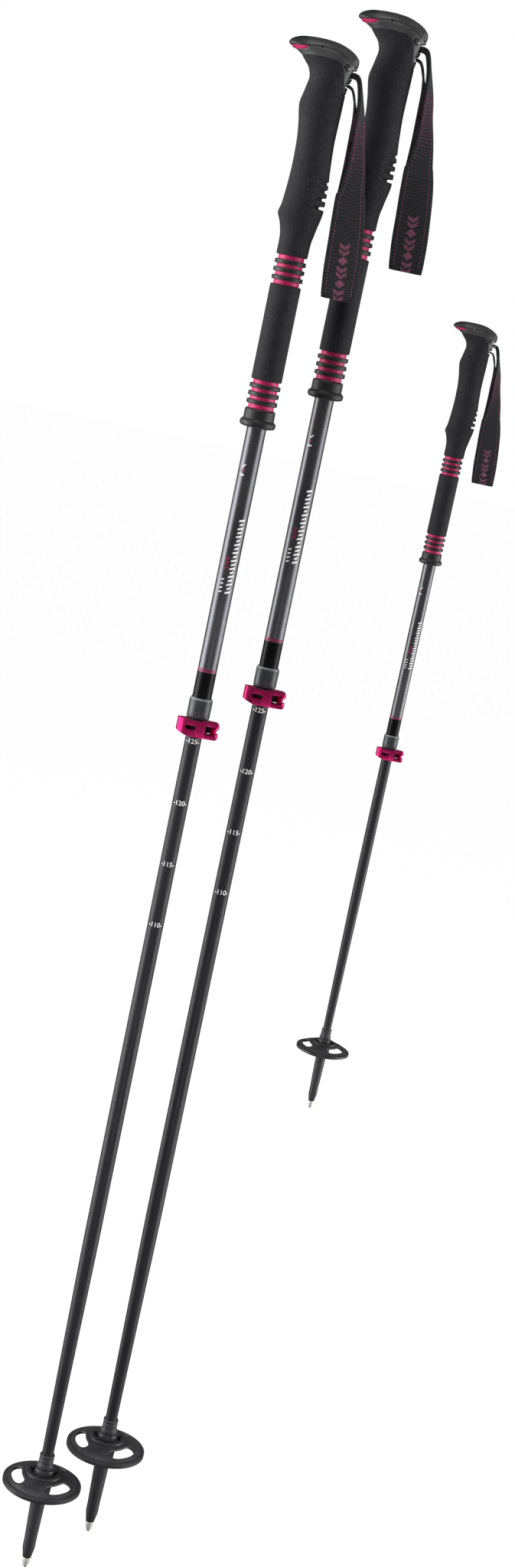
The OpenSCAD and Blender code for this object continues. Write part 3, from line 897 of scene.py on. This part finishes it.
def with_lip(edge, towards, radius):
    """Rows that roll the skin inwards before an edge: (place, inset), ending at the edge."""
    slope = np.gradient(SECTIONS[:, 0], SECTION_AT)
    rate = np.maximum(np.interp(edge, SECTION_AT, slope), 0.8)
    return [(edge - towards * radius * (1 - sin(t)) / rate, radius * (1 - cos(t)))
            for t in np.linspace(0, pi / 2, 6)]


def table_of(rows, angle):
    """The places and the insets of rows, each spread over all columns."""
    return (np.array([row[i] + 0 * angle for row in rows]) for i in (0, 1))


def handle_shell(name, low, high, count, lip, wall, angle=COLUMN_ANGLE, proud=0.0):
    """A moulded shell of the handle between two seams given as places, with rolled edges."""
    bottom, top = with_lip(low, -1, lip)[::-1], with_lip(high, 1, lip)
    start, end = bottom[-1][0], top[0][0]
    body = [(start + (end - start) * f, 0.0) for f in np.linspace(0, 1, count)[1:-1]]
    places, insets = table_of(bottom + body + top, angle)
    insets = insets - proud * np.sin(np.linspace(0, pi, len(places)))[:, None]
    skin = handle_point(places, angle, insets)
    back = handle_point(places[::-1], angle, wall + 0 * places)
    return grid(name, np.concatenate([skin, back]), wrap_columns=angle is COLUMN_ANGLE)


def groove_depth(points, angle):
    """Depth of the finger grooves at the rear of the grip, fading out round its sides."""
    depth = 0 * points[..., 2]
    for z, floor in GROOVES:
        near = np.clip(np.abs(points[..., 2] - z) / GROOVE_HALF, 0, 1)
        rear = np.interp(z, HANDLE[:, 0], HANDLE[:, 2])
        depth = np.maximum(depth, (rear - floor) * (1 - near ** 5))
    return depth * smooth_step(np.cos(angle), 0.30, 0.86)


def grip_foam():
    """Shaped foam grip with four grooves; it closes under the head."""
    angle, edge = COLUMN_ANGLE, 0.9
    rows = [(section_of(GRIP_BOTTOM + edge * (1 - sin(t))), edge * (1 - cos(t)))
            for t in np.linspace(0, pi / 2, 6)[::-1]]
    for start, end, step in ((1095.5, 1127.5, 1.6), (1128.4, 1152.8, 0.3), (1154, GRIP_SPLIT, 1.8)):
        rows += [(section_of(z), 0.0) for z in np.arange(start, end, step)]
    split, rolled = section_of(GRIP_SPLIT), with_lip(seam_place(FOAM_SEAM), 1, edge)
    rows += [(split + (rolled[0][0] - split) * f, 0.0) for f in np.linspace(0, 1, 26)[:-1]] + rolled
    places, insets = table_of(rows, angle)
    plain = handle_point(places, angle)
    skin = handle_point(places, angle, insets + groove_depth(plain, angle))
    bore = [np.stack([SEAT_R * np.cos(angle), SEAT_R * np.sin(angle), np.minimum(row[:, 2], 1224)], -1)
            for row in (skin[-1], skin[0])]
    return grid("grip_foam", np.concatenate([skin, bore]))


def strap_slot(half_y, low, high, near_x):
    """A cutter for a slot through the tail of the head, with rounded corners."""
    return prism(rounded(rectangle(-half_y, low, half_y, high), 1.2, steps=5), near_x, 30, "x")


def head_shell():
    """Bezel and tail: slots for the strap, hole for the pin, and a dimple on the seam."""
    top = np.minimum(seam_place(CAP_SEAM), seam_place(INSERT_SEAM))
    shell = handle_shell("head_shell", seam_place(FOAM_SEAM), top, 22, lip=0.85, wall=3.2)
    combined(shell, strap_slot(6.9, 1225.8, 1232.4, 12.8))
    combined(shell, strap_slot(6.6, 1218.9, 1222.6, 12.5))
    combined(shell, rod((PIN_X, PIN_Z), 2.5, -20, 20))
    combined(shell, rod(DIMPLE, 0.8, -20, 20))
    return bevelled(shell, 0.16, 2, 48)


def head_cap():
    """Palm cap over the seam."""
    angle, last = COLUMN_ANGLE, len(HANDLE) - 1.0
    rows = with_lip(seam_place(CAP_SEAM), -1, 0.85)[::-1]
    start = rows[-1][0]
    rows += [(start + (last - start) * f, 0.0) for f in np.linspace(0, 1, 46)[1:]]
    places, insets = table_of(rows, angle)
    skin = handle_point(places, angle, insets)
    middle = skin[-1].mean(0)
    crown = [middle + (skin[-1] - middle) * f + (0, 0, 0.12 * (1 - f)) for f in (0.6, 0.25, 0.0)]
    under = handle_point(places[::-1], angle, 2.4 + 0 * places) - (0, 0, 1.6)
    under[-1, :, 2] += 1.6
    floor = [crown[-1] - (0, 0, 2.2)]
    cap = grid("head_cap", np.concatenate([skin, crown, floor, under]))
    combined(cap, rod(DIMPLE, 0.8, -20, 20))
    return bevelled(cap, 0.14, 2, 60)


def nose_insert():
    """Pink insert that fills the gap under the nose, standing a little proud."""
    half = radians(66)
    angle = np.linspace(pi - half, pi + half, 90)
    low, high = seam_place(INSERT_SEAM, angle), seam_place(CAP_SEAM, angle)
    keep = handle_point(high, angle)[:, 0] < -18.9
    piece = handle_shell("nose_insert", low[keep], high[keep], 8, 0.3, 2.2, angle[keep], proud=0.25)
    with editing(piece.data) as work:
        bmesh.ops.edgeloop_fill(work, edges=[edge for edge in work.edges if edge.is_boundary])
        bmesh.ops.recalc_face_normals(work, faces=work.faces)
    return piece


def strap_pin():
    """Pin with a domed, socketed head at each end."""
    head = [(1.5, 9.75, 0.3), (2.15, 9.2, 0.4), (2.2, 8.2, 0.2), (PIN_R, 8.1)]
    profile = [(0, -9.9)] + [(r, -z, *size) for r, z, *size in head] + head[::-1] + [(0, 9.9)]
    pin = lathe("strap_pin", profile, 0.15, 48, closed=False)
    for low, high in ((-11, -9.1), (9.1, 11)):
        combined(pin, rod((0, 0), 0.95, low, high, "z", 6))
    return joined("strap_pin", (laid_across(bevelled(pin, 0.08, 2, 40), PIN_X, PIN_Z), "dark_steel"))


# ---------------------------------------------------------------- wrist strap

# Stations of the webbing: x, y, z, width, and how far it is turned about the pole's direction in degrees.
# The loop runs from the head down its front layer and up its back layer, which mirrors the wide front
WIDE = [(34.0, -2.4, 1143.4, 22.4, 9), (35.7, -2.7, 1128, 25, 4), (37.2, -3, 1110, 26.2, 1),
        (38.4, -2.8, 1091.5, 27.1, 0), (39.4, -2.1, 1076, 26.2, 0), (39.7, -1.5, 1071.3, 25.6, 0)]
LOOP = [
    (14.5, 0, 1229.3, 12, 90), (19.5, 0, 1229.6, 12, 90), (23.2, 0, 1227.2, 12, 90),
    (26.1, -0.2, 1219, 12, 88), (28.6, -0.8, 1207.5, 12, 76), (30.3, -1.6, 1196, 11.4, 56),
    (31.8, -2.2, 1182, 10.8, 35), (34.0, -2.3, 1164, 14.3, 20), (34.3, -2.4, 1147, 19.8, 10), *WIDE,
    (39.8, 0, 1069.7, 25.4, 0), *[(x, -y, *rest) for x, y, *rest in WIDE[::-1]],
    (33.7, 2.4, 1147, 20.6, 10), (32.0, 2.3, 1164, 17.4, 22), (29.4, 2.0, 1182, 14.2, 39),
    (26.9, 1.3, 1194, 13, 62), (24.7, 0.5, 1203, 12, 80), (22.4, 0, 1211.6, 12, 90),
    (19.2, 0, 1219, 12, 90), (14.5, 0, 1221.2, 12, 90)]
# The strap's free end, tucked between the two layers
TAIL = [(15, 0, 1227.5, 11.6, 90), (19.2, 0, 1227.6, 11.6, 90), (22.0, 0, 1225.6, 11.6, 90),
        (24.4, 0, 1218.2, 11.6, 88), (26.9, -0.4, 1207.8, 11.6, 78), (28.4, -0.6, 1198, 12, 60),
        (29.4, -0.4, 1190, 12, 47), (30.0, 0, 1182, 12, 40)]
# Where the strap starts and stops bending as it swings: x and z
BEND_START, BEND_END = (21.5, 1223), (30, 1199)


class Ribbon:
    """A webbing along stations, as a frame at each step of its length."""

    def __init__(self, stations):
        fine = curve_through(stations, 40)
        run = np.concatenate([[0], np.cumsum(np.linalg.norm(np.diff(fine[:, :3], axis=0), axis=1))])
        self.along = np.arange(0, run[-1], RIB_PITCH / 4)
        even = np.stack([np.interp(self.along, run, fine[:, i]) for i in range(5)], 1)
        self.centre, self.width = even[:, :3], even[:, 3]
        twist = np.radians(even[:, 4])
        # The crease at the end of the narrow part is left out of the direction, so that the edges stay even
        calm, reach = self.centre.copy(), 20
        share = np.full(2 * reach + 1, 1 / (2 * reach + 1))
        calm[:, 0] = np.convolve(np.pad(calm[:, 0], reach, "edge"), share, "valid")
        tangent = np.gradient(calm, self.along, axis=0)
        tangent /= np.linalg.norm(tangent, axis=1)[:, None]
        across = np.stack([np.cos(twist), np.sin(twist), 0 * twist], 1)
        across -= (across * tangent).sum(1)[:, None] * tangent
        self.across = across / np.linalg.norm(across, axis=1)[:, None]
        self.normal = np.cross(tangent, self.across)

    def at(self, along, across, lift):
        """Points at a length, a distance from the middle line and a height over it."""
        pick = lambda values: np.stack([np.interp(along, self.along, values[:, i]) for i in range(3)], -1)
        return (pick(self.centre) + pick(self.across) * np.asarray(across)[..., None]
                + pick(self.normal) * np.asarray(lift)[..., None])

    def along_at(self, z, front=True):
        """The length at which a layer passes a height."""
        bottom = int(np.argmin(self.centre[:, 2]))
        part = slice(0, bottom) if front else slice(bottom, None)
        heights, lengths = self.centre[part, 2], self.along[part]
        order = np.argsort(heights)
        return float(np.interp(z, heights[order], lengths[order]))

    def solid(self, name, patches):
        """One object out of patches on the webbing: the across, along, lift and faces of each."""
        points, cloth, faces, start = [], [], [], 0
        for across, along, lift, pattern in patches:
            points.append(self.at(along, across, lift).reshape(-1, 3))
            cloth.append(np.stack([across, along, lift], -1).reshape(-1, 3))
            faces += [tuple(start + k for k in face) for face in pattern]
            start += len(points[-1])
        piece = solid(name, np.vstack(points), faces)
        set_vectors(piece.data, "cloth", np.vstack(cloth))
        return piece


def webbing_mesh(name, ribbon):
    """Ribbed webbing with rounded selvedges, and its own cloth coordinates."""
    half = THICKNESS / 2
    inner = ribbon.width / 2 - half
    side, turn = np.linspace(-1, 1, 15), np.radians([45, 0, -45])
    # Points round the section: share of the inner width, extra width, lift, and how far the ribs stand
    section = [(s, 0, half, 0.16 * (1 - abs(s) ** 8)) for s in side]
    section += [(1, half * cos(t), half * sin(t), 0.05) for t in turn]
    section += [(s, 0, -half, -0.16 * (1 - abs(s) ** 8)) for s in side[::-1]]
    section += [(-1, -half * cos(t), half * sin(t), 0.05) for t in turn[::-1]]
    share, extra, lift, relief = np.array(section).T
    rib = 0.8 * np.sin(2 * pi * ribbon.along / RIB_PITCH)[:, None]
    along = ribbon.along[:, None] + 0 * share
    faces = grid_faces(*along.shape, caps=True)
    return ribbon.solid(name, [(inner[:, None] * share + extra, along, lift + relief * rib, faces)])


def stitching(ribbon):
    """Two rows of raised stitches along each layer of the wide part of the strap, each a slim capsule."""
    rings, sides = 5, 6
    pitch, half_length, half_width, rise, bottom = 2.5, 0.85, 0.28, 0.26, 1072.5
    t = (pi * (np.arange(rings) + 0.5) / rings).repeat(sides)
    a = np.tile(2 * pi * np.arange(sides) / sides, rings)
    x, y, z = -np.cos(t), np.sin(t) * np.cos(a), np.sin(t) * np.sin(a)
    pattern, patches = grid_faces(rings, sides, caps=True), []
    for middle in np.arange(ribbon.along_at(1196), ribbon.along_at(1190, front=False), pitch):
        width = float(np.interp(middle, ribbon.along, ribbon.width))
        if np.interp(middle, ribbon.along, ribbon.centre[:, 2]) < bottom:
            continue
        for sign in (-1, 1):
            offset = sign * (width / 2 - EDGE_STITCH * min(1, width / 22))
            patches.append((offset + y * half_width, middle + x * half_length,
                            THICKNESS / 2 + 0.06 + z * rise, pattern))
    return ribbon.solid("stitching", patches)


def woven_blocks(ribbon):
    """A column of plain woven chevrons and lozenges down the middle of the front layer."""
    half_wide, lean, gap, z = 4.1, 2.6, 1.3, 1109.5
    chevron, lozenge = 1.5, 3.4
    side, rows = np.linspace(-1, 1, 15)[None, :], np.linspace(-1, 1, 21)[:, None]
    patches = []
    for half in (chevron, chevron, lozenge, chevron, chevron, lozenge, chevron, chevron):
        z -= half
        along = ribbon.along_at(z) + rows * half + 0 * side
        across = side * half_wide + 0 * rows
        if half == chevron:
            along += lean / 2 - np.abs(side) * lean
        else:
            across = side * half_wide * (1.001 - np.abs(rows))
        lift = THICKNESS / 2 + 0.13 + 0.10 * np.sin(2 * pi * along / 0.8)
        lift[:, [0, -1]] = lift[[0, -1]] = THICKNESS / 2 - 0.15
        patches.append((across, along, lift, grid_faces(21, 15, wrap_columns=False)))
        z -= half + gap
    return ribbon.solid("woven_blocks", patches)


# ---------------------------------------------------------------- poles

class Pole:
    """Where one pole stands, how large it is, and how far its sliding half is pushed in."""

    def __init__(self, name):
        low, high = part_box(f"{name}_tip_point")
        self.name = name
        self.scale = (high.z - low.z) / TIP_HEIGHT
        self.tip = Vector(((low.x + high.x) / 2, (low.y + high.y) / 2, low.z))
        shaft_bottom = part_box(f"{name}_upper_shaft")[0].z
        self.pushed_in = self.tip.z + UPPER_BOTTOM * self.scale - shaft_bottom

    def placement(self, sliding):
        """The pole's own frame in the scene, for its standing or its sliding half."""
        drop = Vector((0, 0, self.pushed_in if sliding else 0))
        return Matrix.Translation(self.tip - drop) @ Matrix.Scale(self.scale, 4)

    def copy_of(self, master, finish, sliding):
        """The pole's own copy of a master, in metres, with its finish and its pattern coordinates."""
        mesh = master.data.copy()
        places = np.zeros(len(mesh.vertices) * 3, np.float32)
        mesh.vertices.foreach_get("co", places)
        set_vectors(mesh, "pole_mm", places)
        if not mesh.materials:
            mesh.materials.append(FINISHES[finish])
        mesh.transform(self.placement(sliding))
        mesh.shade_smooth()
        mesh.set_sharp_from_angle(angle=radians(42))
        return placed(f"{self.name}_{master.name}_fine", mesh)


# Maker, body that it rides on and material slot of each part; the maker's name is the CAD node's
STANDING = [
    (tip_point, "lower", "ferrule_steel"), (tip_body, "lower", "tip_plastic"),
    (basket, "basket_body", "basket_plastic"), (lower_shaft, "lower", "carbon"),
    (guide_plug, "lower", "plug_plastic")]
SLIDING = [
    (upper_shaft, "upper", "shaft_aluminium"), (clamp_sleeve, "upper", "sleeve_plastic"),
    (clamp_band, "upper", "sleeve_plastic"), (clamp_bolt, "upper", "bolt_steel"),
    (lock_lever, "lever", "anodised_pink"), (grip_foam, "upper", "foam"), (extension_foam, "upper", "foam"),
    (accent_rings, "upper", "pink_rubber"), (foam_rings, "upper", "rib_rubber"),
    (end_collar, "upper", "rib_rubber"), (head_shell, "upper", "shell_plastic"),
    (head_cap, "upper", "cap_plastic"), (nose_insert, "upper", "pink_rubber"),
    (strap_pin, "upper", "bolt_steel")]


def build_part(poles, maker, body, slot, sliding, in_cad=True):
    """Builds one master and gives each pole its copy; what isn't in the CAD is print on another part."""
    master = maker()
    master.name = maker.__name__
    for pole in poles:
        piece = pole.copy_of(master, slot, sliding)
        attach(piece, f"{pole.name}_{body}")
        if in_cad:
            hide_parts(f"{pole.name}_{master.name}")
    bpy.data.objects.remove(master)


def build_straps(poles):
    """The strap loop and its free end, placed as they are; stitches and blocks ride on it."""
    loop = Ribbon(LOOP)
    bending = [webbing_mesh("wrist_strap", loop), webbing_mesh("strap_tail", Ribbon(TAIL))]
    stiff = [stitching(loop), woven_blocks(loop)]
    for pole in poles:
        start, end = (tuple(pole.placement(True) @ Vector((x, 0, z))) for x, z in (BEND_START, BEND_END))
        for master in bending:
            piece = pole.copy_of(master, "webbing", True)
            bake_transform(piece)
            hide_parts(f"{pole.name}_wrist_strap")
        for master in stiff:
            piece = pole.copy_of(master, "mauve_thread", True)
            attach(piece, f"{pole.name}_strap")
    for master in bending + stiff:
        bpy.data.objects.remove(master)


def build_poles():
    """All pieces of the three poles."""
    poles = [Pole(name) for name in ("front", "rear", "short")]
    for parts, sliding in ((STANDING, False), (SLIDING, True)):
        for maker, body, slot in parts:
            build_part(poles, maker, body, slot, sliding)
    build_part(poles, length_scale, "lower", "carbon", False, in_cad=False)
    build_part(poles, shaft_graphics, "upper", "shaft_aluminium", True, in_cad=False)
    build_straps(poles)


# ---------------------------------------------------------------- studio

def studio_floor():
    """A wide pale floor just under the tip of the front pole, seen by the camera but not lighting it."""
    size = 14.0
    floor = solid("floor", [(x, y, 0) for x, y in rectangle(-size, -size, size, size)], [(0, 1, 2, 3)])
    floor.location.z = cad_box[0][2] - 0.0004
    material = bpy.data.materials.new("pale_floor")
    material.use_nodes = True
    inputs = material.node_tree.nodes["Principled BSDF"].inputs
    for name, value in (("Base Color", (0.12, 0.12, 0.12, 1)), ("Roughness", 0.9),
                        ("Specular IOR Level", 0.0), ("Emission Color", (1, 1, 1, 1)),
                        ("Emission Strength", 0.97)):
        inputs[name].default_value = value
    floor.data.materials.append(material)
    floor.visible_glossy = floor.visible_diffuse = False


def soft_light(name, place, target, width, height, power):
    """A soft rectangular light aimed at a point."""
    data = bpy.data.lights.new(name, "AREA")
    data.shape = "RECTANGLE"
    data.size, data.size_y, data.energy = width, height, power
    lamp = placed(name, data)
    lamp.location = place
    lamp.rotation_euler = (target - place).to_track_quat("-Z", "Y").to_euler()


def studio_lights():
    """Two tall side lights for the twin highlights on the tubes, one from above and a low one."""
    centre = (Vector(cad_box[0]) + Vector(cad_box[1])) / 2
    for name, side, azimuth, power in (("left_light", -1, 84, 52), ("right_light", 1, 90, 41)):
        turn = radians(azimuth)
        place = centre + Vector((side * sin(turn), -cos(turn), 0)) * 1.6
        soft_light(name, place, centre, 1.3, 2.4, power)
    for name, place, target, width, height, power in (
            ("top_light", (-0.4, -0.8, 1.9), (0, 0, 0.3), 0.8, 0.8, 9),
            ("low_light", (0.1, -1.2, -0.55), (-0.1, 0, -0.62), 0.5, 0.3, 2.2)):
        soft_light(name, centre + Vector(place), centre + Vector(target), width, height, power)


def studio_world():
    """White surroundings for the camera, which light the poles only faintly."""
    world = bpy.data.worlds.new("studio")
    bpy.context.scene.world = world
    world.use_nodes = True
    nodes, links = world.node_tree.nodes, world.node_tree.links
    background, level = nodes["Background"], nodes.new("ShaderNodeMapRange")
    background.inputs["Color"].default_value = (1, 1, 1, 1)
    level.inputs["To Min"].default_value = 0.12
    level.inputs["To Max"].default_value = 1.0
    links.new(nodes.new("ShaderNodeLightPath").outputs["Is Camera Ray"], level.inputs["Value"])
    links.new(level.outputs[0], background.inputs["Strength"])


def camera():
    """The photographer's camera: slightly above the middle, looking down a little, and tilted."""
    place, pitch, roll = (0.05596, -1.80804, 1.06844), radians(-11.654), radians(11.883)
    data = bpy.data.cameras.new("camera")
    data.sensor_fit = "VERTICAL"
    data.sensor_height, data.lens = 24.0, 36.306
    item = placed("camera", data)
    ahead = Vector((0, cos(pitch), sin(pitch)))
    right, up = Vector((1, 0, 0)), Vector((0, -sin(pitch), cos(pitch)))
    right, up = right * cos(roll) + up * sin(roll), up * cos(roll) - right * sin(roll)
    item.matrix_world = Matrix.Translation(place) @ Matrix((right, up, -ahead)).transposed().to_4x4()
    bpy.context.scene.camera = item


camera()
studio_floor()
studio_lights()
studio_world()
build_poles()
bpy.context.scene.view_settings.view_transform = "Standard"
